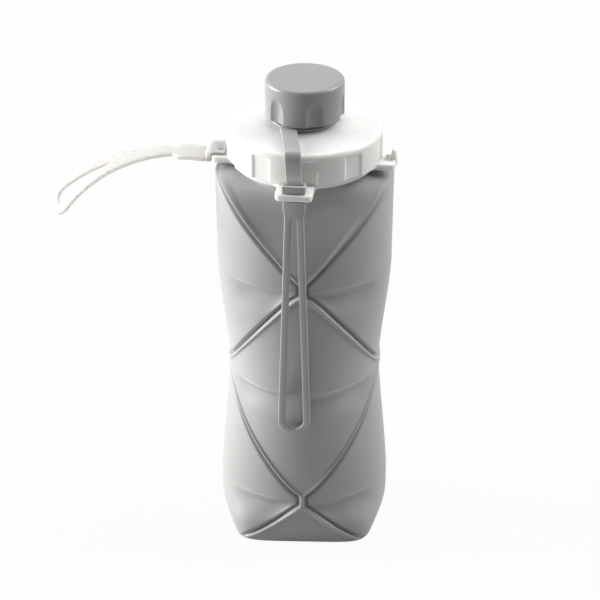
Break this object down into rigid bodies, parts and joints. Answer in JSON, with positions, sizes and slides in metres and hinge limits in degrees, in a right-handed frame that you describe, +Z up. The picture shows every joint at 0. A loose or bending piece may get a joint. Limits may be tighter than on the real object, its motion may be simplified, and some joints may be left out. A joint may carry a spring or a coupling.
{
  "type": "collapsible water bottle",
  "caption": "Fold-down silicone drinking bottle with a creased squeeze body, wide screw lid, screw cap on a spout and two strap loops on an eared collar.",
  "frame": {"origin": "centre of the flat base that the bottle stands on", "axes": "+Z up along the bottle's axis, -Y towards the front fold corners and the carry loop, -X towards the side loop"},
  "size_m": [0.1487, 0.081, 0.2095],
  "materials": {
    "grey_silicone": "matte moulded silicone",
    "white_silicone": "satin translucent silicone",
    "seal_silicone": "satin translucent silicone",
    "white_plastic": "satin-gloss polypropylene",
    "grey_plastic": "fine matte polypropylene"
  },
  "bodies": {
    "body": {"bottle_body": "grey_silicone"},
    "neck": {"neck_ring": "white_plastic"},
    "collar": {"collar_ring": "white_plastic", "lid_gasket": "seal_silicone", "cap_tether": "grey_silicone", "loop_head": "grey_silicone", "side_loop_head": "white_silicone"},
    "lid": {"lid": "white_plastic"},
    "cap_carrier": {"cap_seal": "seal_silicone"},
    "cap": {"cap": "grey_plastic"},
    "carry_loop": {"carry_loop": "grey_silicone"},
    "side_loop": {"side_loop": "white_silicone"}
  },
  "joints": [
    {"name": "collapse", "type": "slide", "parent": "body", "child": "neck", "axis": [0, 0, -1], "range_m": [0, 0.085], "deforming": ["bottle_body"]},
    {"name": "lid_lift", "type": "slide", "parent": "neck", "child": "collar", "axis": [0, 0, 1], "range_m": [0, 0.006]},
    {"name": "lid_turn", "type": "hinge", "parent": "collar", "child": "lid", "pos_m": [0, 0, 0.18], "axis": [0, 0, 1], "range_deg": [0, 720]},
    {"name": "cap_lift", "type": "slide", "parent": "lid", "child": "cap_carrier", "axis": [0, 0, 1], "range_m": [0, 0.005]},
    {"name": "cap_turn", "type": "hinge", "parent": "cap_carrier", "child": "cap", "pos_m": [0, 0, 0.2], "axis": [0, 0, 1], "range_deg": [0, 720]},
    {"name": "carry_loop_swing", "type": "hinge", "parent": "collar", "child": "carry_loop", "pos_m": [-0.00308, -0.03828, 0.1699], "axis": [-0.9968, 0.0802, 0], "range_deg": [0, 110]},
    {"name": "side_loop_swing", "type": "hinge", "parent": "collar", "child": "side_loop", "pos_m": [-0.04221, 0.0034, 0.1725], "axis": [0.0802, 0.9968, 0], "range_deg": [-60, 60]}
  ],
  "couplings": [
    {"joint": "lid_lift", "follows": "lid_turn", "m_per_rad": 0.00047746},
    {"joint": "cap_lift", "follows": "cap_turn", "m_per_rad": 0.00039789}
  ]
}
